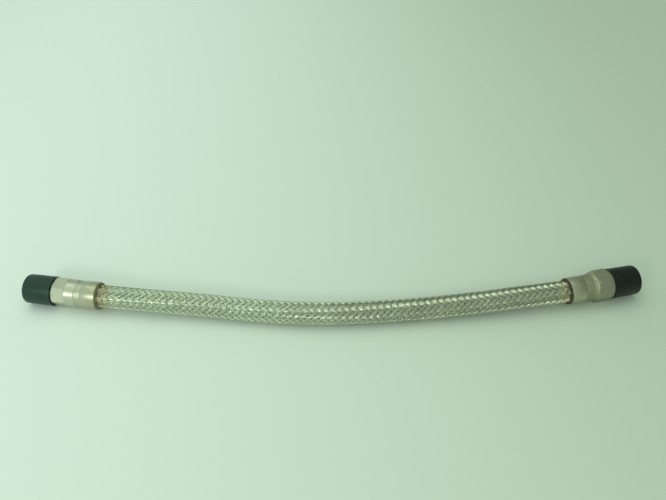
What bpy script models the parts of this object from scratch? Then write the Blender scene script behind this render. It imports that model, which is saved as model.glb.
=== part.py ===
# Wire-braided flexible metal hose with a hexagon pipe fitting, a collar and a thread cap at each end.
# It lies on a surface as it would come to rest: +X runs along the hose, +Z is up, the bow is towards -Y.
# Metres throughout. The origin is on the surface, under the middle of the two end assemblies.
import math

import bmesh
import bpy
import numpy as np
from mathutils import Matrix, Vector

# Hose and braid
BRAID_RADIUS = 0.0098          # outside of the braid, over its crowns
BRAID_RELIEF = 0.00045         # how far the gaps between the strands lie below the crowns
BRAID_WALL = 0.00072           # two layers of wire
CARRIERS = 24                  # strands, half of them wound each way
STRAND_PITCH = 0.0057          # along the hose, from one strand to the next that runs the same way
BRAID_INNER_STEP = 0.024       # spacing of the rings on the plain inside of the braid

# Corrugated inner hose
LINER_CLEARANCE = 0.0003       # between the braid's inside and the crests of the inner hose
LINER_DEPTH = 0.0017           # depth of one corrugation
LINER_WALL = 0.00042
LINER_PITCH = 0.0066
LINER_SIDES = 10

# How the hose lies
ROUTE = [
    (-0.2130, -0.0026), (-0.2004, -0.0047), (-0.1861, -0.0069), (-0.1603, -0.0102), (-0.1325, -0.0131),
    (-0.1047, -0.0164), (-0.0770, -0.0202), (-0.0492, -0.0236), (-0.0212, -0.0257), (0.0017, -0.0262),
    (0.0247, -0.0256), (0.0527, -0.0239), (0.0806, -0.0217), (0.1085, -0.0191), (0.1363, -0.0161),
    (0.1641, -0.0125), (0.1872, -0.0093), (0.2010, -0.0070), (0.2136, -0.0044)]
LEFT_FALL = 0.138              # length over which it comes down to the surface from the left collar's mouth
RIGHT_FALL = 0.150             # and from the right collar's mouth
REST_GAP = 0.00005             # between the braid's lowest crowns and the surface

# Collars and braze at the braid's ends
COLLAR_BORE_GAP = 0.0004       # around the braid
LEFT_COLLAR_WALL = 0.00195
LEFT_COLLAR_RADIUS = BRAID_RADIUS + COLLAR_BORE_GAP + LEFT_COLLAR_WALL
RIGHT_COLLAR_WALL = 0.00155
RIGHT_COLLAR_RADIUS = BRAID_RADIUS + COLLAR_BORE_GAP + RIGHT_COLLAR_WALL
COLLAR_LENGTH = 0.0128
COLLAR_ROUNDING = 0.0006
BRAZE_LENGTH = 0.0019
BRAZE_LIP = 0.00035            # the braze stops short of the collar's outside
SEAT_GAP = 0.0003              # between pieces that meet

# Fittings, from the hose outwards
BORE_RADIUS = 0.0065
THREAD_RADIUS = 0.01067        # half-inch taper pipe thread, at its large end
THREAD_LENGTH = 0.0198
THREAD_TAPER = 1.0 / 32.0      # radius lost for each unit of length
MOUTH_CHAMFER = 0.0008
LEFT_GROOVE = 0.0059
LEFT_NECK = 0.0082
NECK_STEP = 0.00005            # the neck is this much smaller than the collar beside it
NECK_RADIUS = LEFT_COLLAR_RADIUS - NECK_STEP
GROOVE_DEPTH = 0.0005
LEFT_HEX = 0.0121
LEFT_FLATS = 0.0222            # across flats
RIGHT_NECK = 0.0073
RIGHT_NECK_STEP = 0.0002
RIGHT_NECK_RADIUS = RIGHT_COLLAR_RADIUS - RIGHT_NECK_STEP
RIGHT_CONE = 0.0032
RIGHT_HEX = 0.0123
RIGHT_SHOULDER = 0.0024        # round shoulder between the hexagon and the thread
RIGHT_FLATS = 0.0254
CORNER_TRIM = 0.00025          # the turned blank is this much smaller than the hexagon's corners

# Thread caps
CAP_FIT = 0.0003               # around the thread
LEFT_CAP_WALL = 0.00183
LEFT_CAP_DRAFT = 0.0002        # radius lost from the open end to the closed end
LEFT_CAP_LENGTH = 0.0255
LEFT_CAP_RADIUS = THREAD_RADIUS + CAP_FIT + LEFT_CAP_WALL
RIGHT_CAP_WALL = 0.00223
RIGHT_CAP_DRAFT = 0.0004
RIGHT_CAP_LENGTH = 0.0257
RIGHT_CAP_RADIUS = THREAD_RADIUS + CAP_FIT + RIGHT_CAP_WALL
CAP_END_WALL = 0.0019
CAP_ROUNDING = 0.0022

ROUND_SIDES = 24


def clear_scene():
    for item in list(bpy.data.objects):
        bpy.data.objects.remove(item, do_unlink=True)


def make_material(name, colour, metallic, roughness):
    material = bpy.data.materials.new(name)
    material.use_nodes = True
    shader = material.node_tree.nodes["Principled BSDF"]
    shader.inputs["Base Color"].default_value = (*colour, 1.0)
    shader.inputs["Metallic"].default_value = metallic
    shader.inputs["Roughness"].default_value = roughness
    material.diffuse_color = (*colour, 1.0)
    return material


def finish(mesh_build, name, material, parent=None, sharp_angle=35.0):
    """Turn a bmesh into a named object with its material, shaded smooth up to a sharp angle."""
    bmesh.ops.recalc_face_normals(mesh_build, faces=mesh_build.faces[:])
    mesh = bpy.data.meshes.new(name)
    mesh_build.to_mesh(mesh)
    mesh_build.free()
    mesh.materials.append(material)
    mesh.shade_smooth()
    mesh.set_sharp_from_angle(angle=math.radians(sharp_angle))
    item = bpy.data.objects.new(name, mesh)
    item.parent = parent
    bpy.context.scene.collection.objects.link(item)
    return item


def turned(name, profile, material, parent, sides=ROUND_SIDES):
    """Spin a closed outline of (radius, distance along the axis) pairs about the local Z axis."""
    shape = bmesh.new()
    points = [shape.verts.new((radius, 0.0, along)) for radius, along in profile]
    edges = [shape.edges.new((a, b)) for a, b in zip(points, points[1:] + points[:1])]
    bmesh.ops.spin(shape, geom=points + edges, cent=(0, 0, 0), axis=(0, 0, 1),
                   angle=2.0 * math.pi, steps=sides, use_merge=True)
    bmesh.ops.remove_doubles(shape, verts=shape.verts[:], dist=0.000002)
    return finish(shape, name, material, parent)


def closed_turned(name, profile, material, parent, sides=ROUND_SIDES):
    """Spin an outline that starts and ends on the axis, which leaves no hole at either end."""
    shape = bmesh.new()
    points = [shape.verts.new((radius, 0.0, along)) for radius, along in profile]
    edges = [shape.edges.new((a, b)) for a, b in zip(points, points[1:])]
    bmesh.ops.spin(shape, geom=points + edges, cent=(0, 0, 0), axis=(0, 0, 1),
                   angle=2.0 * math.pi, steps=sides, use_merge=True)
    bmesh.ops.remove_doubles(shape, verts=shape.verts[:], dist=0.000002)
    return finish(shape, name, material, parent)


def ease(share):
    """Smooth step from 0 to 1."""
    share = min(max(share, 0.0), 1.0)
    return share * share * (3.0 - 2.0 * share)


class Route:
    """A natural cubic curve through the plan points, lifted at both ends to the fittings' height.

    It is level inside the collars."""

    def __init__(self, points, left_height, right_height):
        plan = np.array(points)
        steps = np.linalg.norm(np.diff(plan, axis=0), axis=1)
        self.knots = np.concatenate([[0.0], np.cumsum(steps)])
        self.plan = plan
        self.bend = self.second_derivatives(plan)
        self.length = self.knots[-1]
        self.left_height = left_height
        self.right_height = right_height

    def second_derivatives(self, plan):
        gaps = np.diff(self.knots)
        size = len(self.knots)
        system = np.eye(size)
        right = np.zeros((size, 2))
        for k in range(1, size - 1):
            system[k, k - 1] = gaps[k - 1]
            system[k, k] = 2.0 * (gaps[k - 1] + gaps[k])
            system[k, k + 1] = gaps[k]
            right[k] = 6.0 * ((plan[k + 1] - plan[k]) / gaps[k] - (plan[k] - plan[k - 1]) / gaps[k - 1])
        return np.linalg.solve(system, right)

    def height(self, along):
        rest = BRAID_RADIUS + REST_GAP
        left = 1.0 - ease((along - COLLAR_LENGTH) / LEFT_FALL)
        right = 1.0 - ease((self.length - COLLAR_LENGTH - along) / RIGHT_FALL)
        return rest + left * (self.left_height - rest) + right * (self.right_height - rest)

    def place(self, along):
        along = min(max(along, 0.0), self.length)
        k = min(int(np.searchsorted(self.knots, along, side="right")) - 1, len(self.knots) - 2)
        gap = self.knots[k + 1] - self.knots[k]
        b = (along - self.knots[k]) / gap
        a = 1.0 - b
        flat = (a * self.plan[k] + b * self.plan[k + 1]
                + ((a ** 3 - a) * self.bend[k] + (b ** 3 - b) * self.bend[k + 1]) * gap * gap / 6.0)
        return Vector((flat[0], flat[1], self.height(along)))

    def direction(self, along):
        step = 0.0005
        low = max(along - step, 0.0)
        high = min(along + step, self.length)
        return (self.place(high) - self.place(low)).normalized()

    def ring(self, along, radii, turn=0.0):
        """Points around the curve at one distance along it, one for each radius in the list."""
        centre = self.place(along)
        forward = self.direction(along)
        side = forward.cross(Vector((0, 0, 1))).normalized()
        up = side.cross(forward)
        points = []
        for k, radius in enumerate(radii):
            angle = turn + 2.0 * math.pi * k / len(radii)
            points.append(centre + radius * (math.cos(angle) * side + math.sin(angle) * up))
        return points


def add_rings(shape, rings):
    return [[shape.verts.new(point) for point in ring] for ring in rings]


def skin(shape, rings, outward=True):
    """Quads between neighbouring rings."""
    for near, far in zip(rings, rings[1:]):
        count = len(near)
        for k in range(count):
            corners = (near[k], near[(k + 1) % count], far[(k + 1) % count], far[k])
            shape.faces.new(corners if outward else corners[::-1])


def annulus(shape, outer, inner):
    count = len(outer)
    for k in range(count):
        after = (k + 1) % count
        shape.faces.new((outer[k], outer[after], inner[after], inner[k]))


def wire_braid(route, material):
    """The braid as one sleeve: strands that pass over two and under two, as ridges on a diamond grid."""
    rows = round(2.0 * route.length / STRAND_PITCH)
    spacing = route.length / rows
    turn = math.pi / CARRIERS - 0.5 * math.pi
    shape = bmesh.new()
    rings = []
    for row in range(rows + 1):
        radii = [BRAID_RADIUS - (BRAID_RELIEF if (col + row) % 2 else 0.0) for col in range(CARRIERS)]
        rings.append(route.ring(row * spacing, radii, turn))
    outer = add_rings(shape, rings)
    for row in range(rows):
        for col in range(CARRIERS):
            after = (col + 1) % CARRIERS
            a, b = outer[row][col], outer[row][after]
            c, d = outer[row + 1][after], outer[row + 1][col]
            crown_rises = (col + row) % 2 == 0
            strip = col % 4
            rising = strip == 0 or (strip in (1, 3) and not crown_rises)
            if rising:
                shape.faces.new((a, b, c))
                shape.faces.new((a, c, d))
            else:
                shape.faces.new((a, b, d))
                shape.faces.new((b, c, d))
    inner_radius = [BRAID_RADIUS - BRAID_WALL] * CARRIERS
    inner_rows = max(2, round(route.length / BRAID_INNER_STEP))
    inner = add_rings(shape, [route.ring(route.length * k / inner_rows, inner_radius, turn)
                              for k in range(inner_rows + 1)])
    skin(shape, inner, outward=False)
    annulus(shape, inner[0], outer[0])
    annulus(shape, outer[-1], inner[-1])
    return finish(shape, "wire_braid", material, sharp_angle=180.0)


def corrugated_liner(route, material):
    """The bellows hose inside the braid, a thin wall that waves in and out."""
    crest = BRAID_RADIUS - BRAID_WALL - LINER_CLEARANCE
    waves = round(route.length / LINER_PITCH)
    half = route.length / (2 * waves)
    turn = math.pi / CARRIERS - 0.5 * math.pi
    shape = bmesh.new()
    outside, inside = [], []
    for k in range(2 * waves + 1):
        radius = crest - (LINER_DEPTH if k % 2 == 0 else 0.0)
        outside.append(route.ring(k * half, [radius] * LINER_SIDES, turn))
        inside.append(route.ring(k * half, [radius - LINER_WALL] * LINER_SIDES, turn))
    outer = add_rings(shape, outside)
    inner = add_rings(shape, inside)
    skin(shape, outer)
    skin(shape, inner, outward=False)
    annulus(shape, inner[0], outer[0])
    annulus(shape, outer[-1], inner[-1])
    return finish(shape, "corrugated_inner_hose", material, sharp_angle=60.0)


def end_frame(name, route, at_start):
    """An empty at the hose's end: its Z axis points out of the fitting, its X axis points up."""
    along = 0.0 if at_start else route.length
    outward = -route.direction(along) if at_start else route.direction(along)
    outward.z = 0.0
    outward.normalize()
    up = Vector((0, 0, 1))
    across = outward.cross(up)
    frame = Matrix((up, across, outward)).transposed().to_4x4()
    frame.translation = route.place(along)
    empty = bpy.data.objects.new(name, None)
    empty.matrix_world = frame
    bpy.context.scene.collection.objects.link(empty)
    return empty


def collar(name, radius, material, parent):
    """Sleeve pressed over the end of the braid, towards the hose from the local origin."""
    bore = BRAID_RADIUS + COLLAR_BORE_GAP
    r = COLLAR_ROUNDING
    profile = [(bore, 0.0), (radius - r, 0.0), (radius, -r), (radius, -COLLAR_LENGTH + r),
               (radius - r, -COLLAR_LENGTH), (bore, -COLLAR_LENGTH)]
    return turned(name, profile, material, parent)


def braze_ring(name, collar_radius, material, parent):
    """Dark fillet of braze at the collar's mouth, around the braid."""
    start = -COLLAR_LENGTH - SEAT_GAP
    low = BRAID_RADIUS + COLLAR_BORE_GAP
    high = collar_radius - BRAZE_LIP
    rise = high - low
    profile = [(low, start), (high, start), (high - 0.1 * rise, start - 0.4 * BRAZE_LENGTH),
               (low + 0.45 * rise, start - 0.8 * BRAZE_LENGTH), (low, start - BRAZE_LENGTH)]
    return turned(name, profile, material, parent)


def hexagon_cutter(name, flats, start, end, parent):
    """A hexagonal ring that leaves the hexagon standing where it takes the round blank away."""
    shape = bmesh.new()
    inner_corner = flats / math.sqrt(3.0)
    outer_corner = inner_corner * 1.5
    loops = []
    for radius, along in ((outer_corner, start), (outer_corner, end), (inner_corner, end), (inner_corner, start)):
        ring = []
        for k in range(6):
            angle = math.radians(30.0 + 60.0 * k)
            ring.append(shape.verts.new((radius * math.cos(angle), radius * math.sin(angle), along)))
        loops.append(ring)
    skin(shape, loops + loops[:1])
    bmesh.ops.recalc_face_normals(shape, faces=shape.faces[:])
    mesh = bpy.data.meshes.new(name)
    shape.to_mesh(mesh)
    shape.free()
    item = bpy.data.objects.new(name, mesh)
    item.parent = parent
    item.hide_render = True
    item.display_type = 'WIRE'
    bpy.context.scene.collection.objects.link(item)
    return item


def cut_flats(fitting, cutter):
    cut = fitting.modifiers.new("hexagon", 'BOOLEAN')
    cut.operation = 'DIFFERENCE'
    cut.solver = 'EXACT'
    cut.object = cutter


def pipe_end(start):
    """Outline of the taper pipe end from its root out to its mouth and back along the bore."""
    mouth = start + THREAD_LENGTH
    tip = THREAD_RADIUS - THREAD_LENGTH * THREAD_TAPER
    return [(THREAD_RADIUS, start), (tip + MOUTH_CHAMFER * THREAD_TAPER, mouth - MOUTH_CHAMFER),
            (tip - MOUTH_CHAMFER, mouth), (BORE_RADIUS, mouth)]


def left_fitting(material, parent):
    """Grooved neck, short hexagon and pipe end, bored through."""
    blank = LEFT_FLATS / math.sqrt(3.0) - CORNER_TRIM
    neck_start = SEAT_GAP + LEFT_GROOVE
    hex_start = neck_start + LEFT_NECK
    hex_end = hex_start + LEFT_HEX
    groove = NECK_RADIUS - GROOVE_DEPTH
    chamfer = blank - 0.5 * LEFT_FLATS
    profile = [(BORE_RADIUS, SEAT_GAP), (groove, SEAT_GAP), (groove, neck_start - GROOVE_DEPTH),
               (NECK_RADIUS, neck_start), (NECK_RADIUS, hex_start), (blank, hex_start),
               (blank, hex_end - chamfer), (0.5 * LEFT_FLATS, hex_end)]
    item = turned("left_fitting", profile + pipe_end(hex_end), material, parent)
    cut_flats(item, hexagon_cutter("left_hexagon_cutter", LEFT_FLATS, hex_start, hex_end + SEAT_GAP, parent))
    return item, hex_end


def right_fitting(material, parent):
    """Short neck that flares to a long hexagon, a round shoulder and the pipe end, bored through."""
    blank = RIGHT_FLATS / math.sqrt(3.0) - CORNER_TRIM
    neck_end = SEAT_GAP + RIGHT_NECK
    hex_start = neck_end + RIGHT_CONE
    shoulder_start = hex_start + RIGHT_HEX
    shoulder_end = shoulder_start + RIGHT_SHOULDER
    half_flats = 0.5 * RIGHT_FLATS
    chamfer = blank - half_flats
    profile = [(BORE_RADIUS, SEAT_GAP), (RIGHT_NECK_RADIUS, SEAT_GAP), (RIGHT_NECK_RADIUS, neck_end),
               (half_flats, hex_start), (blank, hex_start + 1.5 * chamfer), (blank, shoulder_start - 1.5 * chamfer),
               (half_flats, shoulder_start), (half_flats, shoulder_end)]
    item = turned("right_fitting", profile + pipe_end(shoulder_end), material, parent)
    cutter = hexagon_cutter("right_hexagon_cutter", RIGHT_FLATS, hex_start, shoulder_start, parent)
    cut_flats(item, cutter)
    return item, shoulder_end


def thread_cap(name, seat, radius, draft, length, material, parent):
    """Plastic cup over the pipe end, a little narrower at its closed end."""
    tip_radius = radius - draft
    start = seat + SEAT_GAP
    end = start + length
    floor = end - CAP_END_WALL
    outline = [(0.0, floor)]
    root = THREAD_RADIUS + CAP_FIT
    outline += [(root - (floor - seat) * THREAD_TAPER, floor), (root, start)]
    outline.append((radius, start))
    r = CAP_ROUNDING
    for k in range(4):
        angle = math.radians(30.0 * k)
        outline.append((tip_radius - r + r * math.cos(angle), end - r + r * math.sin(angle)))
    outline.append((0.0, end))
    return closed_turned(name, outline, material, parent)


def build():
    clear_scene()
    steel = make_material("braid_steel", (0.55, 0.53, 0.46), 1.0, 0.30)
    inner_steel = make_material("inner_hose_steel", (0.42, 0.41, 0.37), 1.0, 0.35)
    left_steel = make_material("left_fitting_steel", (0.60, 0.58, 0.51), 1.0, 0.32)
    right_steel = make_material("right_fitting_steel", (0.52, 0.49, 0.41), 1.0, 0.38)
    collar_steel = make_material("collar_steel", (0.60, 0.56, 0.48), 1.0, 0.28)
    braze = make_material("dark_braze", (0.07, 0.045, 0.03), 0.6, 0.55)
    plastic = make_material("black_cap_plastic", (0.012, 0.014, 0.015), 0.0, 0.42)

    left_height = max(LEFT_CAP_RADIUS, LEFT_COLLAR_RADIUS, 0.5 * LEFT_FLATS)
    right_height = max(RIGHT_CAP_RADIUS, RIGHT_COLLAR_RADIUS, 0.5 * RIGHT_FLATS)
    route = Route(ROUTE, left_height, right_height)
    wire_braid(route, steel)
    corrugated_liner(route, inner_steel)

    left = end_frame("left_end", route, at_start=True)
    right = end_frame("right_end", route, at_start=False)
    for side, radius, parent in (("left", LEFT_COLLAR_RADIUS, left), ("right", RIGHT_COLLAR_RADIUS, right)):
        collar(side + "_collar", radius, collar_steel, parent)
        braze_ring(side + "_braze_ring", radius, braze, parent)
    left_seat = left_fitting(left_steel, left)[1]
    right_seat = right_fitting(right_steel, right)[1]
    thread_cap("left_thread_cap", left_seat, LEFT_CAP_RADIUS, LEFT_CAP_DRAFT, LEFT_CAP_LENGTH, plastic, left)
    thread_cap("right_thread_cap", right_seat, RIGHT_CAP_RADIUS, RIGHT_CAP_DRAFT, RIGHT_CAP_LENGTH,
               plastic, right)
    bpy.context.view_layer.update()


build()
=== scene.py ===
import math
import random

import bpy
import numpy as np
from mathutils import Matrix, Vector


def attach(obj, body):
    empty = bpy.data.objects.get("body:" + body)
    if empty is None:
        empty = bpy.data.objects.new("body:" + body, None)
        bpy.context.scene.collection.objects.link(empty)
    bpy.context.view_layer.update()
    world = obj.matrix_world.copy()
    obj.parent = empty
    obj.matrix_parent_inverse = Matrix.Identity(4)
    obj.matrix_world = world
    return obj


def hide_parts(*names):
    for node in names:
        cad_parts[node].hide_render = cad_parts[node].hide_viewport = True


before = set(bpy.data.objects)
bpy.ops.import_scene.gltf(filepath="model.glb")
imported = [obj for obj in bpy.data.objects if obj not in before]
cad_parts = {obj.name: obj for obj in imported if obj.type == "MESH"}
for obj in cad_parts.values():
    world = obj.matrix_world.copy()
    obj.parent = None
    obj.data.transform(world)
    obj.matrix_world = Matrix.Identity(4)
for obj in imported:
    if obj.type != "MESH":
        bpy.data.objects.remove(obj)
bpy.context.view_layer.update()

print("frame loaded")


# the view and the light come first

view = {
    "place": (-0.0053, -0.4041, 0.4182),
    "right": (0.99987, -0.01606, -0.00338),
    "up": (0.01321, 0.66518, 0.74657),
    "back": (-0.00974, -0.74651, 0.66530),
    "lens": 35.62,
    "sensor": 36.0,
    "near": 0.01,
    "far": 20.0,
}

cameraData = bpy.data.cameras.new("camera")
cameraData.lens = view["lens"]
cameraData.sensor_width = view["sensor"]
cameraData.clip_start = view["near"]
cameraData.clip_end = view["far"]
camera = bpy.data.objects.new("camera", cameraData)
axes = Matrix((view["right"], view["up"], view["back"])).transposed()
camera.matrix_world = Matrix.Translation(view["place"]) @ axes.to_4x4()
bpy.context.scene.collection.objects.link(camera)
bpy.context.scene.camera = camera
bpy.context.scene.view_settings.view_transform = "Standard"

lights = {
    "keyPlace": (-0.66, -1.00, 0.70),
    "keyTarget": (-0.05, 0, 0),
    "keySize": 0.24,
    "keyPower": 2.6,
    "keyTint": (0.90, 1.0, 0.86),
    "softPlace": (-0.10, 0.35, 1.30),
    "softTarget": (0, 0, 0),
    "softSize": 1.20,
    "softPower": 3.4,
    "softTint": (0.84, 1.0, 0.84),
}


def areaLight(name):
    data = bpy.data.lights.new(name + "_light", "AREA")
    data.shape = "SQUARE"
    data.size = lights[name + "Size"]
    data.energy = lights[name + "Power"]
    data.color = lights[name + "Tint"]
    lamp = bpy.data.objects.new(name + "_light", data)
    lamp.location = lights[name + "Place"]
    aim = Vector(lights[name + "Target"]) - Vector(lights[name + "Place"])
    lamp.rotation_mode = "QUATERNION"
    lamp.rotation_quaternion = aim.to_track_quat("-Z", "Y")
    bpy.context.scene.collection.objects.link(lamp)


areaLight("key")
areaLight("soft")


# shader helpers

# A value in a shader. Sums and products of signals add their Math nodes.
class Signal:
    def __init__(self, finish, socket):
        self.finish = finish
        self.socket = socket

    def worked(self, operation, other):
        return self.finish.node("ShaderNodeMath", {"operation": operation}, {0: self, 1: other})

    def __add__(self, other):
        return self.worked("ADD", other)

    def __sub__(self, other):
        return self.worked("SUBTRACT", other)

    def __mul__(self, other):
        return self.worked("MULTIPLY", other)


# The node tree of a material or of the world.
class Finish:
    def __init__(self, owner):
        self.material = owner
        self.tree = owner.node_tree
        self.tree.nodes.clear()

    # Adds one node: its settings first, then the values or links of its sockets.
    def node(self, kind, settings=None, sockets=None, output=0):
        made = self.tree.nodes.new(kind)
        for name, value in (settings or {}).items():
            setattr(made, name, value)
        for key, value in (sockets or {}).items():
            socket = made.inputs[key]
            if isinstance(value, Signal):
                self.tree.links.new(value.socket, socket)
            elif socket.type == "RGBA" and len(value) == 3:
                socket.default_value = (*value, 1.0)
            else:
                socket.default_value = value
        return Signal(self, made.outputs[output]) if made.outputs else made

    def mix(self, factor, first, second):
        return self.node("ShaderNodeMix", {"data_type": "RGBA", "blend_type": "MIX"},
                         {0: factor, 6: first, 7: second}, output=2)

    # Leads smoothly from start at the span's first value to end at its second.
    def between(self, value, span, start=0.0, end=1.0):
        return self.node("ShaderNodeMapRange", {"interpolation_type": "SMOOTHSTEP"},
                         {0: value, 1: span[0], 2: span[1], 3: start, 4: end})

    def noise(self, vector, scale, detail=2.0, roughness=0.5, distortion=0.0):
        return self.node("ShaderNodeTexNoise", None,
                         {"Vector": vector, "Scale": scale, "Detail": detail,
                          "Roughness": roughness, "Distortion": distortion})

    def place(self):
        return self.node("ShaderNodeTexCoord", output="Object")

    def part(self, vector, axis):
        return self.node("ShaderNodeSeparateXYZ", None, {"Vector": vector}, output=axis)

    # Object coordinates turned so that Z runs out of the fitting and X points up, then stretched.
    def placeAt(self, matrix, stretch):
        turned = self.node("ShaderNodeMapping", {"vector_type": "TEXTURE"},
                           {"Vector": self.place(), "Location": tuple(matrix.to_translation()),
                            "Rotation": tuple(matrix.to_euler())})
        return self.node("ShaderNodeMapping", {"vector_type": "POINT"}, {"Vector": turned, "Scale": stretch})

    def distance(self, point):
        return self.node("ShaderNodeVectorMath", {"operation": "DISTANCE"},
                         {0: self.place(), 1: tuple(point)}, output="Value")

    def surface(self, sockets):
        shader = self.node("ShaderNodeBsdfPrincipled", None, sockets)
        self.node("ShaderNodeOutputMaterial", None, {"Surface": shader})

    def bump(self, height, strength, distance):
        return self.node("ShaderNodeBump", None,
                         {"Height": height, "Strength": strength, "Distance": distance})


def newFinish(name):
    material = bpy.data.materials.new(name)
    material.use_nodes = True
    return Finish(material)


# floor and room

# lit and dim are painted light: the floor's colour is lit at the left and dim at the right.
floorLook = {
    "size": 6.0,
    "lit": (0.98, 1.00, 1.00),
    "dim": (0.59, 0.63, 0.56),
    "fade": (-0.45, 0.50),
    "roughness": 0.9,
    "shine": 0.2,
}

bpy.ops.object.select_all(action="DESELECT")
bpy.ops.mesh.primitive_plane_add(size=floorLook["size"], location=(0, 0, 0))
floor = bpy.context.object
floor.name = "floor"
floorFinish = newFinish("floor_pale")
acrossFloor = floorFinish.part(floorFinish.place(), "X")
# Painted light: the floor's colour fades from lit at the left to dim at the right, as if the light fell off.
floorColourWithPaintedFalloff = floorFinish.mix(floorFinish.between(acrossFloor, floorLook["fade"]),
                              floorLook["lit"], floorLook["dim"])
floorFinish.surface({"Base Color": floorColourWithPaintedFalloff, "Roughness": floorLook["roughness"],
                     "Specular IOR Level": floorLook["shine"]})
floor.data.materials.append(floorFinish.material)

roomLook = {
    "bright": (0.68, 0.87, 0.71),
    "dim": (0.24, 0.31, 0.235),
    "fade": (-0.55, 0.75),
    "acrossShare": 0.9,
    "awayShare": 0.35,
}

room = bpy.data.worlds.new("room")
room.use_nodes = True
bpy.context.scene.world = room
roomFinish = Finish(room)
direction = roomFinish.node("ShaderNodeTexCoord", output="Generated")
acrossRoom = roomFinish.part(direction, "X") * roomLook["acrossShare"]
awayInRoom = roomFinish.part(direction, "Y") * roomLook["awayShare"]
roomColour = roomFinish.mix(roomFinish.between(acrossRoom + awayInRoom, roomLook["fade"]),
                            roomLook["bright"], roomLook["dim"])
background = roomFinish.node("ShaderNodeBackground", None, {"Color": roomColour, "Strength": 1.0})
roomFinish.node("ShaderNodeOutputWorld", None, {"Surface": background})
print("view, floor and light made")


# the line the hose lies on

# The plan points and heights are those of the CAD model.
hose = {
    "routePoints": [
        (-0.2130, -0.0026), (-0.2004, -0.0047), (-0.1861, -0.0069), (-0.1603, -0.0102), (-0.1325, -0.0131),
        (-0.1047, -0.0164), (-0.0770, -0.0202), (-0.0492, -0.0236), (-0.0212, -0.0257), (0.0017, -0.0262),
        (0.0247, -0.0256), (0.0527, -0.0239), (0.0806, -0.0217), (0.1085, -0.0191), (0.1363, -0.0161),
        (0.1641, -0.0125), (0.1872, -0.0093), (0.2010, -0.0070), (0.2136, -0.0044)],
    "braidRadius": 0.0098,
    "restGap": 0.00005,
    "levelLength": 0.0128,
    "leftFall": 0.138,
    "rightFall": 0.150,
    "leftHeight": 0.0128,
    "rightHeight": 0.0132,
    "probe": 0.0005,             # directions are taken over this length
}


def ease(share):
    share = np.clip(share, 0.0, 1.0)
    return share * share * (3.0 - 2.0 * share)


plan = np.array(hose["routePoints"])
knots = np.concatenate([[0.0], np.cumsum(np.linalg.norm(np.diff(plan, axis=0), axis=1))])
hoseLength = knots[-1]


# Second derivatives of the cubic curve through the plan points, straight at both ends.
def naturalBend():
    gaps = np.diff(knots)
    system = np.eye(len(knots))
    known = np.zeros((len(knots), 2))
    for k in range(1, len(knots) - 1):
        system[k, k - 1:k + 2] = gaps[k - 1], 2.0 * (gaps[k - 1] + gaps[k]), gaps[k]
        known[k] = 6.0 * ((plan[k + 1] - plan[k]) / gaps[k] - (plan[k] - plan[k - 1]) / gaps[k - 1])
    return np.linalg.solve(system, known)


bendOfPlan = naturalBend()


def linePoints(along):
    along = np.clip(np.atleast_1d(along), 0.0, hoseLength)
    k = np.clip(np.searchsorted(knots, along, side="right") - 1, 0, len(knots) - 2)
    gap = (knots[k + 1] - knots[k])[:, None]
    b = (along - knots[k])[:, None] / gap
    a = 1.0 - b
    bend = (a ** 3 - a) * bendOfPlan[k] + (b ** 3 - b) * bendOfPlan[k + 1]
    flat = a * plan[k] + b * plan[k + 1] + bend * gap * gap / 6.0
    rest = hose["braidRadius"] + hose["restGap"]
    left = 1.0 - ease((along - hose["levelLength"]) / hose["leftFall"])
    right = 1.0 - ease((hoseLength - hose["levelLength"] - along) / hose["rightFall"])
    height = rest + left * (hose["leftHeight"] - rest) + right * (hose["rightHeight"] - rest)
    return np.column_stack([flat, height])


def unit(vectors):
    return vectors / np.linalg.norm(vectors, axis=1)[:, None]


# Centre, sideways and upward directions of the hose at each distance along it.
def lineFrames(along):
    ahead = unit(linePoints(along + hose["probe"]) - linePoints(along - hose["probe"]))
    side = unit(np.cross(ahead, (0.0, 0.0, 1.0)))
    return linePoints(along), side, np.cross(side, ahead)


# The place of an end: Z runs out of the hose, level with the floor, and X points up.
def endFrame(end, inside):
    near, far = linePoints([end, inside])
    outward = Vector(near - far)
    outward.z = 0.0
    outward.normalize()
    up = Vector((0, 0, 1))
    turned = Matrix((up, outward.cross(up), outward)).transposed().to_4x4()
    return Matrix.Translation(Vector(near)) @ turned


leftFrame = endFrame(0.0, hose["probe"])
rightFrame = endFrame(hoseLength, hoseLength - hose["probe"])
endFrames = {"left": leftFrame, "right": rightFrame}


def meshPiece(name, points, faces, material):
    mesh = bpy.data.meshes.new(name)
    mesh.vertices.add(len(points))
    mesh.vertices.foreach_set("co", points.ravel())
    mesh.loops.add(faces.size)
    mesh.loops.foreach_set("vertex_index", faces.ravel())
    mesh.polygons.add(len(faces))
    mesh.polygons.foreach_set("loop_start", np.arange(0, faces.size, 4))
    mesh.polygons.foreach_set("use_smooth", np.ones(len(faces), bool))
    mesh.update(calc_edges=True)
    mesh.validate()
    mesh.materials.append(material)
    piece = bpy.data.objects.new(name, mesh)
    bpy.context.scene.collection.objects.link(piece)
    return piece


# Quads between neighbouring rings of a tube that are numbered one after another.
def tubeFaces(rings, sides):
    ring, side = np.meshgrid(np.arange(rings - 1), np.arange(sides), indexing="ij")
    after = (side + 1) % sides
    return np.stack([ring * sides + side, ring * sides + after,
                     (ring + 1) * sides + after, (ring + 1) * sides + side], axis=-1).reshape(-1, 4)


# braid: 24 strands of 8 wires, over two and under two

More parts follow.
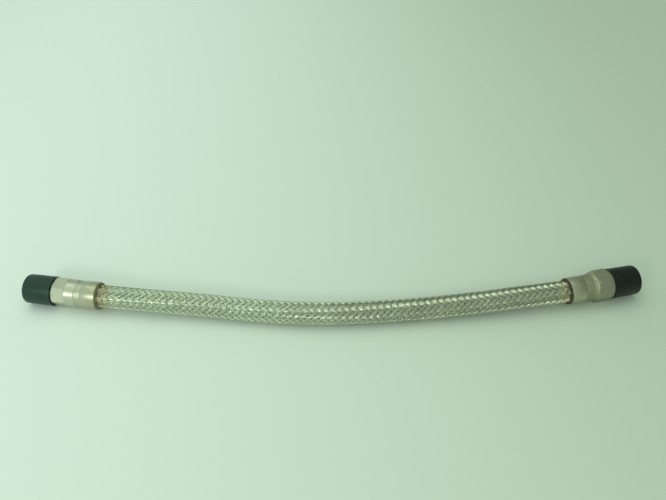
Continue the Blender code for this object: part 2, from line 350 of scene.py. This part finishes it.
braid = {
    "strands": 24,
    "rows": 151,                 # crossings along each strand
    "wires": 8,
    "wireRadius": 0.000185,
    "wireStep": 0.00038,
    "midRadius": 0.00941,
    "lift": 0.0002,              # a wire's centre moves this far out and in
    "firstAngle": math.radians(22.5),
    "twist": math.radians(52.0),  # the columns turn this far from one end to the other
    "period": 4.0,               # crossings after which the pattern repeats
    "pattern": [(-0.42, 0.86), (-0.22, 1.0), (0.5, 1.04), (1.22, 1.0),
                (1.42, 0.86), (1.58, -0.86), (2.5, -1.04), (3.42, -0.86)],
    "endMargin": 0.1,
    "seed": 5,
    "strandTone": 0.6,
    "wireTone": 0.4,
    # The edge wires of rising strands get painted shade, a dark line between strands.
    "risingEdgeShade": -0.75,
    # The second steel colour is reached towards the right, as painted shade for the light falling off, and in
    # random dull patches.
    "steel": (0.88, 0.92, 0.76),
    "steelDullAndShaded": (0.64, 0.65, 0.52),
    "cloudScale": 42.0,
    "cloudShare": 0.9,
    "paintedFalloffSpan": (-0.12, 0.20),
    "paintedFalloffLeft": 0.15,
    "paintedFalloffRight": 0.75,
    "darkToneAndShade": (0.22, 0.21, 0.16),
    "darkToneAndShadeShare": 0.42,
    "straw": (0.72, 0.68, 0.49),
    "strawSpan": (0.15, 0.85),
    "strawPatch": 0.55,
    "burnt": (0.50, 0.42, 0.29),
    "burntSpan": (0.70, 1.05),
    "burntPatch": 0.35,
    "patchScale": 260.0,
    "heatDepth": -0.0130,
    "leftHeat": (0.0190, 0.0100),
    "rightHeat": (0.0165, 0.0100),
    "roughness": 0.17,
    "roughRise": 0.09,
    "roughSpan": (-0.05, 0.20),
    "heatRough": 0.12,
}


def braidFinish():
    finish = newFinish("braid_wire")
    place = finish.place()
    # The wireTone attribute holds each wire's random tone, and painted shade on the edge wires of rising
    # strands.
    toneAndShade = finish.node("ShaderNodeAttribute", {"attribute_name": "wireTone"}, output="Fac")
    across = finish.part(place, "X")
    cloud = (finish.noise(place, braid["cloudScale"], detail=3.0, roughness=0.6) - 0.5) * braid["cloudShare"]
    # Painted shade: the wires darken from left to right as the light falls off, with random cloudy patches on
    # top.
    cloudAndPaintedFalloff = finish.between(across, braid["paintedFalloffSpan"], braid["paintedFalloffLeft"], braid["paintedFalloffRight"]) + cloud
    steel = finish.mix(finish.between(cloudAndPaintedFalloff, (0.0, 1.0)), braid["steel"], braid["steelDullAndShaded"])
    # Painted shade: dark edge wires of rising strands draw shaded lines between strands; random tones darken
    # other wires a little.
    steel = finish.mix(finish.between(toneAndShade, (-1.0, 1.0), braid["darkToneAndShadeShare"], 0.0), steel, braid["darkToneAndShade"])
    depth = Vector((0, 0, braid["heatDepth"]))
    leftHeat = finish.between(finish.distance(leftFrame @ depth), braid["leftHeat"])
    rightHeat = finish.between(finish.distance(rightFrame @ depth), braid["rightHeat"])
    heat = leftHeat + rightHeat
    patchy = finish.noise(place, braid["patchScale"])
    strawHeat = finish.between(heat * (patchy + braid["strawPatch"]), braid["strawSpan"])
    burntHeat = finish.between(heat * (patchy + braid["burntPatch"]), braid["burntSpan"])
    colour = finish.mix(burntHeat, finish.mix(strawHeat, steel, braid["straw"]), braid["burnt"])
    roughest = braid["roughness"] + braid["roughRise"]
    rough = finish.between(across, braid["roughSpan"], braid["roughness"], roughest) + heat * braid["heatRough"]
    finish.surface({"Base Color": colour, "Metallic": 1.0, "Roughness": rough})
    return finish.material


# Radial place of a rising wire at each count of crossings: over two, then under two.
def wirePattern(phase):
    places, lifts = zip(*braid["pattern"])
    return np.interp(phase, places, lifts, period=braid["period"])


# One wire as a four-sided tube with closed ends: its points and its faces.
def wireTube(rising, strand, offset):
    sense = 1.0 if rising else -1.0
    period = braid["period"]
    columnAngle = 2.0 * math.pi / braid["strands"]
    start = 2.0 * strand + 0.5 * offset
    low, high = sorted((start, start + sense * braid["rows"]))
    places = np.array([place for place, lift in braid["pattern"]])
    repeats = period * np.arange(math.floor(low / period) - 1, math.ceil(high / period) + 1)
    stops = (places[None, :] + repeats[:, None]).ravel()
    stops = stops[(stops > low + braid["endMargin"]) & (stops < high - braid["endMargin"])]
    phase = np.sort(np.concatenate([[low], stops, [high]]))
    if not rising:
        phase = phase[::-1]
    along = (phase - start) * sense * hoseLength / braid["rows"]
    turn = braid["twist"] * (along / hoseLength - 0.5)
    angle = braid["firstAngle"] + (phase + 0.5 * offset) * columnAngle + turn
    centre, side, up = lineFrames(along)
    out = np.cos(angle)[:, None] * side + np.sin(angle)[:, None] * up
    lift = wirePattern(phase) * sense
    middle = centre + (braid["midRadius"] + braid["lift"] * lift)[:, None] * out
    ahead = unit(np.gradient(middle, axis=0))
    sideways = unit(np.cross(ahead, out))
    outward = np.cross(sideways, ahead)
    corners = np.stack([outward, sideways, -outward, -sideways], axis=1)
    points = middle[:, None, :] + braid["wireRadius"] * corners
    rings = len(middle)
    faces = tubeFaces(rings, 4)[:, ::-1]
    last = 4 * (rings - 1)
    ends = np.array([[0, 1, 2, 3], [last + 3, last + 2, last + 1, last]])
    return points.reshape(-1, 3), np.concatenate([faces, ends])


# Every second strand of one sense, with a tone for each wire and painted shade on the edge wires of rising
# strands.
def braidPiece(name, rising, first, material):
    lead = braid["strands"] * hoseLength / braid["rows"]
    slant = math.atan2(2.0 * math.pi * braid["midRadius"], lead)
    columnWidth = 2.0 * math.pi * braid["midRadius"] / braid["strands"]
    draw = random.Random(braid["seed"] + first + (10 if rising else 0))
    points, faces, tonesAndShade = [], [], []
    count = 0
    for strand in range(first, braid["strands"] // 2, 2):
        strandTone = draw.random()
        for wire in range(braid["wires"]):
            shift = (wire - 0.5 * (braid["wires"] - 1)) * braid["wireStep"]
            offset = shift / math.cos(slant) / columnWidth
            tubePoints, tubeQuads = wireTube(rising, strand, offset)
            points.append(tubePoints)
            faces.append(tubeQuads + count)
            toneAndShade = braid["strandTone"] * strandTone + braid["wireTone"] * draw.random()
            # Painted shade: the two edge wires of each rising strand are darkened as if shade fell between
            # strands.
            if wire in (0, braid["wires"] - 1):
                toneAndShade = braid["risingEdgeShade"] if rising else 0.0
            tonesAndShade.append(np.full(len(tubePoints), toneAndShade))
            count += len(tubePoints)
    piece = meshPiece(name, np.concatenate(points), np.concatenate(faces), material)
    toneAndShade = piece.data.attributes.new("wireTone", "FLOAT", "POINT")
    toneAndShade.data.foreach_set("value", np.concatenate(tonesAndShade))
    return piece


braidSteel = braidFinish()
braidPieces = [
    braidPiece("braid_rising_odd", True, 0, braidSteel),
    braidPiece("braid_rising_even", True, 1, braidSteel),
    braidPiece("braid_falling_odd", False, 0, braidSteel),
    braidPiece("braid_falling_even", False, 1, braidSteel),
]
for piece in braidPieces:
    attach(piece, "root")
    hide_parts("wire_braid")
print("braid made:", sum(len(p.data.polygons) for p in braidPieces), "faces")


# corrugated inner hose, seen through the gaps of the braid

bellows = {
    "crest": 0.00878,
    "depth": 0.0017,
    "wall": 0.00025,
    "waves": 130,
    "ringsPerWave": 5,
    "sides": 36,
    "steel": (0.42, 0.41, 0.34),
    "steelDark": (0.26, 0.25, 0.20),
    "cloudScale": 70.0,
    "cloudSpan": (0.3, 0.7),
    "roughness": 0.38,
    "roughRise": 0.12,
}


def bellowsFinish():
    finish = newFinish("bellows_steel")
    cloud = finish.noise(finish.place(), bellows["cloudScale"], detail=3.0)
    colour = finish.mix(finish.between(cloud, bellows["cloudSpan"]), bellows["steelDark"], bellows["steel"])
    rough = finish.between(cloud, bellows["cloudSpan"], bellows["roughness"] + bellows["roughRise"],
                           bellows["roughness"])
    finish.surface({"Base Color": colour, "Metallic": 1.0, "Roughness": rough})
    return finish.material


def bellowsPiece():
    rings = bellows["waves"] * bellows["ringsPerWave"] + 1
    sides = bellows["sides"]
    share = np.linspace(0.0, 1.0, rings)
    wave = 0.5 - 0.5 * np.cos(2.0 * math.pi * share * bellows["waves"])
    radius = bellows["crest"] - bellows["depth"] * (1.0 - wave)
    centre, side, up = lineFrames(share * hoseLength)
    angle = 2.0 * math.pi * np.arange(sides) / sides
    out = np.cos(angle)[None, :, None] * side[:, None, :] + np.sin(angle)[None, :, None] * up[:, None, :]
    outer = centre[:, None, :] + radius[:, None, None] * out
    inner = centre[:, None, :] + (radius - bellows["wall"])[:, None, None] * out
    count = rings * sides
    quads = tubeFaces(rings, sides)
    k = np.arange(sides)
    after = (k + 1) % sides
    last = (rings - 1) * sides
    startRim = np.stack([k + count, after + count, after, k], axis=-1)
    endRim = np.stack([last + k, last + after, last + after + count, last + k + count], axis=-1)
    faces = np.concatenate([quads, quads[:, ::-1] + count, startRim, endRim])
    points = np.concatenate([outer.reshape(-1, 3), inner.reshape(-1, 3)])
    return meshPiece("inner_bellows", points, faces, bellowsFinish())


innerBellows = bellowsPiece()
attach(innerBellows, "root")
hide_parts("corrugated_inner_hose")

tuple(linePoints([0.0])[0])
[tuple(p) for p in linePoints(np.linspace(0.0, hoseLength, 120))]


# tools for turned pieces

turning = {
    "seedSize": 0.0001,
    "outlineMerge": 0.000001,
    "seamMerge": 0.000002,
    "sliver": 0.0000005,
    "cornerShare": 0.48,         # a rounding takes at most this share of the sides beside it
    "steps": 96,
    "lumpySteps": 120,
    "smoothAngle": 32.0,
    "hexagonAngle": 20.0,
    "lumpyAngle": 60.0,
}


def deselectAll():
    if bpy.context.mode != "OBJECT":
        bpy.ops.object.mode_set(mode="OBJECT")
    bpy.ops.object.select_all(action="DESELECT")


# Corners given as (radius, along, rounding) become a line of points with round corners.
def rounded(corners, closed, steps):
    line = []
    count = len(corners)
    for k, (radius, along, rounding) in enumerate(corners):
        here = Vector((radius, along))
        atEnd = not closed and k in (0, count - 1)
        if rounding <= 0.0 or atEnd:
            line.append(here)
            continue
        before = Vector(corners[k - 1][:2]) - here
        after = Vector(corners[(k + 1) % count][:2]) - here
        reach = min(rounding, turning["cornerShare"] * before.length, turning["cornerShare"] * after.length)
        start, end = here + before.normalized() * reach, here + after.normalized() * reach
        for step in range(steps + 1):
            t = step / steps
            line.append(start * (1 - t) ** 2 + here * 2 * t * (1 - t) + end * t ** 2)
    return line


# Draws the outline vertex by vertex and spins it about Z. An open outline starts and ends on the axis.
def spunPiece(name, corners, closed=True, steps=turning["steps"], roundSteps=3):
    line = rounded(corners, closed, roundSteps)
    deselectAll()
    bpy.ops.mesh.primitive_plane_add(size=turning["seedSize"], location=(0, 0, 0))
    piece = bpy.context.object
    piece.name = name
    piece.data.name = name
    bpy.ops.object.mode_set(mode="EDIT")
    bpy.ops.mesh.select_all(action="SELECT")
    bpy.ops.mesh.merge(type="CENTER")
    bpy.ops.transform.translate(value=(line[0].x, 0, line[0].y))
    stops = line[1:] + (line[:1] if closed else [])
    for near, far in zip(line, stops):
        bpy.ops.mesh.extrude_region_move(TRANSFORM_OT_translate={"value": (far.x - near.x, 0, far.y - near.y)})
    bpy.ops.mesh.select_all(action="SELECT")
    bpy.ops.mesh.remove_doubles(threshold=turning["outlineMerge"])
    bpy.ops.mesh.select_all(action="SELECT")
    bpy.ops.mesh.spin(steps=steps, angle=2.0 * math.pi, center=(0, 0, 0), axis=(0, 0, 1))
    bpy.ops.mesh.select_all(action="SELECT")
    bpy.ops.mesh.remove_doubles(threshold=turning["seamMerge"])
    bpy.ops.mesh.select_all(action="SELECT")
    bpy.ops.mesh.dissolve_degenerate(threshold=turning["sliver"])
    bpy.ops.mesh.select_all(action="SELECT")
    bpy.ops.mesh.normals_make_consistent(inside=False)
    bpy.ops.object.mode_set(mode="OBJECT")
    return piece


def applyModifier(piece, kind, settings):
    deselectAll()
    piece.select_set(True)
    bpy.context.view_layer.objects.active = piece
    modifier = piece.modifiers.new(kind.lower(), kind)
    for name, value in settings.items():
        setattr(modifier, name, value)
    bpy.ops.object.modifier_apply(modifier=modifier.name)


# Cuts a hexagon with one flat towards +X out of a round blank, by taking away a hexagonal ring.
def cutHexagon(piece, flats, start, end):
    corner = flats / math.sqrt(3.0)
    deselectAll()
    bpy.ops.mesh.primitive_cylinder_add(vertices=6, radius=corner, depth=end - start,
                                        end_fill_type="NOTHING", location=(0, 0, 0.5 * (start + end)))
    cutter = bpy.context.object
    bpy.ops.object.mode_set(mode="EDIT")
    bpy.ops.mesh.select_all(action="SELECT")
    bpy.ops.mesh.normals_make_consistent(inside=False)
    bpy.ops.object.mode_set(mode="OBJECT")
    applyModifier(cutter, "SOLIDIFY", {"thickness": 0.5 * corner, "offset": 1.0, "use_even_offset": True})
    applyModifier(piece, "BOOLEAN", {"operation": "DIFFERENCE", "solver": "EXACT", "object": cutter})
    bpy.data.objects.remove(cutter)


# Puts a finished piece at its end of the hose, with its object back at the origin.
def finishPiece(piece, place, material, node, smoothAngle=turning["smoothAngle"]):
    deselectAll()
    piece.select_set(True)
    bpy.context.view_layer.objects.active = piece
    piece.matrix_world = place
    bpy.ops.object.transform_apply(location=True, rotation=True, scale=True)
    bpy.ops.object.shade_smooth_by_angle(angle=math.radians(smoothAngle))
    piece.data.materials.clear()
    piece.data.materials.append(material)
    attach(piece, "root")
    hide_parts(node)


turnedLook = {
    "lineStretch": (60.0, 60.0, 5200.0),
    "bandStretch": (8.0, 8.0, 700.0),
    "cloudScale": 120.0,
    "stainSpan": (0.45, 0.75),
    "stainShare": 0.75,
    "roughSpan": (0.3, 0.8),
    "roughRise": 0.16,
    "bandRough": 0.14,
    "patchScale": 300.0,
    "heatSpan": (0.2, 0.9),
    "heatRough": 0.10,
    "lineHeight": 0.7,
    "bandHeight": 0.3,
    "bumpStrength": 0.35,
    "bumpDepth": 0.00006,
}


# Fine rings left by the lathe, a cloudy stain over them, and another colour within reach of a point.
def turnedFinish(name, matrix, metal, steel, stain, stainSpan=turnedLook["stainSpan"],
                 heatFrom=None, heatColour=None, heatReach=None):
    look = turnedLook
    finish = newFinish(name)
    lines = finish.noise(finish.placeAt(matrix, look["lineStretch"]), 1.0, detail=1.0)
    bands = finish.noise(finish.placeAt(matrix, look["bandStretch"]), 1.0)
    cloud = finish.noise(finish.place(), look["cloudScale"], detail=4.0, roughness=0.6, distortion=0.4)
    colour = finish.mix(finish.between(cloud, stainSpan, 0.0, look["stainShare"]), steel, stain)
    rough = finish.between(cloud, look["roughSpan"], metal["roughness"], metal["roughness"] + look["roughRise"])
    rough = rough + (bands - 0.5) * look["bandRough"]
    if heatFrom is not None:
        heat = finish.between(finish.distance(heatFrom), heatReach)
        patchy = finish.noise(finish.place(), look["patchScale"])
        colour = finish.mix(finish.between(heat * (patchy + 0.5), look["heatSpan"]), colour, heatColour)
        rough = rough + heat * look["heatRough"]
    height = lines * look["lineHeight"] + bands * look["bandHeight"]
    finish.surface({"Base Color": colour, "Metallic": 1.0, "Roughness": rough,
                    "Normal": finish.bump(height, look["bumpStrength"], look["bumpDepth"])})
    return finish.material


# collars

collar = {
    "bore": 0.0102,
    "leftRadius": 0.01215,
    "rightRadius": 0.01175,
    "length": 0.0128,
    "lipLength": 0.0011,
    "lipDrop": 0.00014,
    "edge": 0.0002,
    "lipFoot": 0.0001,
    "mouthEdge": 0.0005,
    # The right collar's steel and stain are darker than the left's: painted shade, since the right end lies in
    # less light.
    "leftSteel": (0.53, 0.51, 0.42),
    "leftStain": (0.48, 0.43, 0.33),
    "rightSteel": (0.49, 0.475, 0.34),
    "rightStain": (0.42, 0.39, 0.27),
    "warm": (0.50, 0.47, 0.36),
    "warmReach": (0.0168, 0.0122),
    "roughness": 0.17,
}


def makeCollar(side):
    place = endFrames[side]
    radius, mouth, edge = collar[side + "Radius"], -collar["length"], collar["edge"]
    lip, lipStart = radius - collar["lipDrop"], mouth + collar["lipLength"]
    piece = spunPiece(side + "_collar_sleeve", [
        (collar["bore"], 0.0, edge), (radius, 0.0, edge), (radius, lipStart, edge),
        (lip, lipStart, collar["lipFoot"]), (lip, mouth, collar["mouthEdge"]), (collar["bore"], mouth, edge)])
    material = turnedFinish(side + "_collar_steel", place, collar,
                            collar[side + "Steel"], collar[side + "Stain"],
                            heatFrom=place @ Vector((0, 0, mouth)), heatColour=collar["warm"],
                            heatReach=collar["warmReach"])
    finishPiece(piece, place, material, side + "_collar")


# braze rings at the collars' mouths

braze = {
    "gap": 0.0003,
    "leftLength": 0.0010,
    "rightLength": 0.0017,
    "lip": 0.00035,
    "browDrop": 0.12,            # the next four are shares of the ring's height and length
    "browReach": 0.35,
    "footHeight": 0.42,
    "footReach": 0.66,
    "browEdge": 0.0003,
    "footEdge": 0.0004,
    "lumps": 0.00042,
    "lumpSize": 0.0042,
    "lumpMiddle": 0.55,
    "flatBand": 0.0001,
    # The dark and rust colours are the braze's oxide; the right ring's much darker copy is partly painted shade,
    # since the right end lies in less light.
    "leftDark": (0.21, 0.18, 0.12),
    "leftRust": (0.38, 0.32, 0.21),
    "rightDark": (0.040, 0.026, 0.017),
    "rightRust": (0.13, 0.075, 0.040),
    "rustScale": 420.0,
    "rustSpan": (0.42, 0.68),
    "metallic": 0.35,
    "roughSpan": (0.3, 0.7),
    "roughDark": 0.62,
    "roughRust": 0.42,
    "grainScale": 1900.0,
    "bumpStrength": 0.5,
    "bumpDepth": 0.00015,
}


def brazeFinish(side):
    finish = newFinish(side + "_braze_oxidised")
    place = finish.place()
    cloud = finish.noise(place, braze["rustScale"], detail=4.0, roughness=0.65)
    colour = finish.mix(finish.between(cloud, braze["rustSpan"]), braze[side + "Dark"], braze[side + "Rust"])
    grain = finish.noise(place, braze["grainScale"], detail=3.0)
    rough = finish.between(cloud, braze["roughSpan"], braze["roughDark"], braze["roughRust"])
    finish.surface({"Base Color": colour, "Metallic": braze["metallic"], "Roughness": rough,
                    "Normal": finish.bump(grain, braze["bumpStrength"], braze["bumpDepth"])})
    return finish.material


def makeBraze(side):
    start = -collar["length"] - braze["gap"]
    length = braze[side + "Length"]
    high = collar[side + "Radius"] - braze["lip"]
    low = collar["bore"]
    rise = high - low
    piece = spunPiece(side + "_braze_fillet", [
        (low, start, 0.0), (high, start, braze["browEdge"]),
        (high - braze["browDrop"] * rise, start - braze["browReach"] * length, braze["browEdge"]),
        (low + braze["footHeight"] * rise, start - braze["footReach"] * length, braze["footEdge"]),
        (low, start - length, 0.0)], steps=turning["lumpySteps"])
    lumps = bpy.data.textures.new(side + "_lumps", "CLOUDS")
    lumps.noise_scale = braze["lumpSize"]
    lumps.noise_depth = 2
    group = piece.vertex_groups.new(name="face")
    for vertex in piece.data.vertices:
        free = vertex.co.z < start - braze["flatBand"]
        group.add([vertex.index], 1.0 if free else 0.0, "REPLACE")
    applyModifier(piece, "DISPLACE", {"texture": lumps, "texture_coords": "LOCAL", "strength": braze["lumps"],
                                      "mid_level": braze["lumpMiddle"], "vertex_group": "face"})
    piece.vertex_groups.clear()
    finishPiece(piece, endFrames[side], brazeFinish(side), side + "_braze_ring",
                turning["lumpyAngle"])


for side in ("left", "right"):
    makeCollar(side)
    makeBraze(side)
print("collars and braze made")


# fittings, from the hose outwards

pipe = {
    "bore": 0.0065,
    "threadRadius": 0.01067,
    "threadLength": 0.0198,
    "threadTaper": 1.0 / 32.0,
    "mouthChamfer": 0.0008,
    "seatGap": 0.0003,
    "cornerTrim": 0.00025,
    "edge": 0.0002,
}

leftBody = {
    "groove": 0.0059,
    "grooveRadius": 0.0116,
    "grooveRamp": 0.0010,
    "neck": 0.0082,
    "neckRadius": 0.0121,
    "hexagon": 0.0121,
    "flats": 0.0222,
    "chamferShare": 0.9,
    "sharpEdge": 0.0001,
    "rampFoot": 0.0008,
    "rampTop": 0.0006,
    "neckEdge": 0.00015,
    "steel": (0.58, 0.57, 0.47),
    "stain": (0.55, 0.54, 0.43),
    "grooveDull": (0.50, 0.50, 0.40),
    "dullReach": (0.0126, 0.0119),
    "roughness": 0.28,
}

rightBody = {
    "neck": 0.0073,
    "neckRadius": 0.01155,
    "cone": 0.0032,
    "hexagon": 0.0123,
    "shoulder": 0.0024,
    "flats": 0.0254,
    "chamferShare": 0.45,
    "softEdge": 0.0003,
    "coneFoot": 0.0008,
    "coneTop": 0.0010,
    "chamferEdge": 0.0006,
    # The right fitting's steel and stain are darker than the left's: partly a browner finish, partly painted
    # shade for the right end's lesser light.
    "steel": (0.38, 0.375, 0.28),
    "stain": (0.31, 0.30, 0.21),
    "stainSpan": (0.40, 0.70),
    "roughness": 0.50,
}


def pipeEnd(start):
    mouth = start + pipe["threadLength"]
    tip = pipe["threadRadius"] - pipe["threadLength"] * pipe["threadTaper"]
    chamfer = pipe["mouthChamfer"]
    return [(pipe["threadRadius"], start, 0.0), (tip + chamfer * pipe["threadTaper"], mouth - chamfer, 0.0),
            (tip - chamfer, mouth, 0.0), (pipe["bore"], mouth, pipe["edge"])]


# Half the width across the flats, and the radius of the round blank that the hexagon is cut from.
def hexagonRadii(body):
    return 0.5 * body["flats"], body["flats"] / math.sqrt(3.0) - pipe["cornerTrim"]


def makeLeftFitting():
    half, blank = hexagonRadii(leftBody)
    seat, edge, sharp = pipe["seatGap"], pipe["edge"], leftBody["sharpEdge"]
    grooveEnd = seat + leftBody["groove"]
    hexStart = grooveEnd + leftBody["neck"]
    hexEnd = hexStart + leftBody["hexagon"]
    chamfer = (blank - half) * leftBody["chamferShare"]
    neck, groove = leftBody["neckRadius"], leftBody["grooveRadius"]
    corners = [(pipe["bore"], seat, edge), (groove, seat, sharp),
               (groove, grooveEnd - leftBody["grooveRamp"], leftBody["rampFoot"]),
               (neck, grooveEnd, leftBody["rampTop"]), (neck, hexStart, leftBody["neckEdge"]),
               (blank, hexStart, edge), (blank, hexEnd - chamfer, sharp), (half, hexEnd, sharp)]
    piece = spunPiece("left_pipe_fitting", corners + pipeEnd(hexEnd))
    cutHexagon(piece, leftBody["flats"], hexStart, hexEnd + seat)
    grooveMiddle = leftFrame @ Vector((0, 0, seat + 0.5 * leftBody["groove"]))
    material = turnedFinish("left_fitting_turned", leftFrame, leftBody, leftBody["steel"], leftBody["stain"],
                            heatFrom=grooveMiddle, heatColour=leftBody["grooveDull"],
                            heatReach=leftBody["dullReach"])
    finishPiece(piece, leftFrame, material, "left_fitting", turning["hexagonAngle"])
    return hexEnd


def makeRightFitting():
    half, blank = hexagonRadii(rightBody)
    seat, edge, soft = pipe["seatGap"], pipe["edge"], rightBody["softEdge"]
    neckEnd = seat + rightBody["neck"]
    hexStart = neckEnd + rightBody["cone"]
    shoulderStart = hexStart + rightBody["hexagon"]
    shoulderEnd = shoulderStart + rightBody["shoulder"]
    chamfer = (blank - half) * rightBody["chamferShare"]
    neck = rightBody["neckRadius"]
    corners = [(pipe["bore"], seat, edge), (neck, seat, soft), (neck, neckEnd, rightBody["coneFoot"]),
               (half, hexStart, rightBody["coneTop"]), (blank, hexStart + chamfer, rightBody["chamferEdge"]),
               (blank, shoulderStart - chamfer, soft), (half, shoulderStart, edge), (half, shoulderEnd, soft)]
    piece = spunPiece("right_pipe_fitting", corners + pipeEnd(shoulderEnd))
    cutHexagon(piece, rightBody["flats"], hexStart, shoulderStart)
    material = turnedFinish("right_fitting_turned", rightFrame, rightBody, rightBody["steel"],
                            rightBody["stain"], rightBody["stainSpan"])
    finishPiece(piece, rightFrame, material, "right_fitting", turning["hexagonAngle"])
    return shoulderEnd


fittingEnds = {"left": makeLeftFitting(), "right": makeRightFitting()}
print("fittings made")


# thread caps

caps = {
    "leftRadius": 0.0128,
    "leftTip": 0.0126,
    "leftLength": 0.0255,
    "rightRadius": 0.0132,
    "rightTip": 0.0128,
    "rightLength": 0.0257,
    "endWall": 0.0019,
    "endEdge": 0.0026,
    "innerEdge": 0.0004,
    "rootEdge": 0.0002,
    "mouthEdge": 0.0004,
    "roundSteps": 6,
    "fit": 0.0003,
    # The right cap's shine, black and wear are darker than the left's: painted shade, as the right cap faces the
    # dim side of the room.
    "leftShine": 0.9,
    "rightShine": 0.45,
    # The sheens tint the caps' reflections green, the left one strongly: painted reflection colour.
    "leftSheen": (0.53, 0.84, 0.76),
    "rightSheen": (0.85, 1.0, 0.9),
    "leftBlack": (0.002, 0.006, 0.004),
    "leftWorn": (0.020, 0.055, 0.042),
    "rightBlack": (0.001, 0.002, 0.001),
    "rightWorn": (0.012, 0.022, 0.018),
    "wornSpan": (0.80, 0.98),
    "wornShare": 0.5,
    "cloudScale": 90.0,
    "scuffScale": 700.0,
    "scuffShare": 0.5,
    "grainScale": 3200.0,
    "grainHeight": 0.6,
    "scuffHeight": 0.4,
    "bumpStrength": 0.25,
    "bumpDepth": 0.00008,
    "roughSpan": (0.35, 0.7),
    "roughClean": 0.34,
    "roughWorn": 0.50,
}


def capFinish(side):
    finish = newFinish(side + "_cap_black")
    place = finish.place()
    cloud = finish.noise(place, caps["cloudScale"], detail=4.0, roughness=0.6)
    scuffs = finish.noise(place, caps["scuffScale"], detail=3.0, roughness=0.7, distortion=1.5)
    grain = finish.noise(place, caps["grainScale"])
    worn = finish.between(cloud + scuffs * caps["scuffShare"], caps["wornSpan"], 0.0, caps["wornShare"])
    height = grain * caps["grainHeight"] + scuffs * caps["scuffHeight"]
    # Specular Tint paints the reflections green from the sheen colours.
    finish.surface({"Base Color": finish.mix(worn, caps[side + "Black"], caps[side + "Worn"]),
                    "Specular IOR Level": caps[side + "Shine"],
                    "Specular Tint": caps[side + "Sheen"],
                    "Roughness": finish.between(cloud, caps["roughSpan"], caps["roughClean"], caps["roughWorn"]),
                    "Normal": finish.bump(height, caps["bumpStrength"], caps["bumpDepth"])})
    return finish.material


def makeCap(side):
    radius, tip, length = caps[side + "Radius"], caps[side + "Tip"], caps[side + "Length"]
    seat = fittingEnds[side]
    start = seat + pipe["seatGap"]
    end = start + length
    innerEnd = end - caps["endWall"]
    root = pipe["threadRadius"] + caps["fit"]
    innerTip = root - (innerEnd - seat) * pipe["threadTaper"]
    corners = [(0.0, innerEnd, 0.0), (innerTip, innerEnd, caps["innerEdge"]), (root, start, caps["rootEdge"]),
               (radius, start, caps["mouthEdge"]), (tip, end, caps["endEdge"]), (0.0, end, 0.0)]
    piece = spunPiece(side + "_cap", corners, closed=False, roundSteps=caps["roundSteps"])
    finishPiece(piece, endFrames[side], capFinish(side), side + "_thread_cap")


makeCap("left")
makeCap("right")
print("caps made")
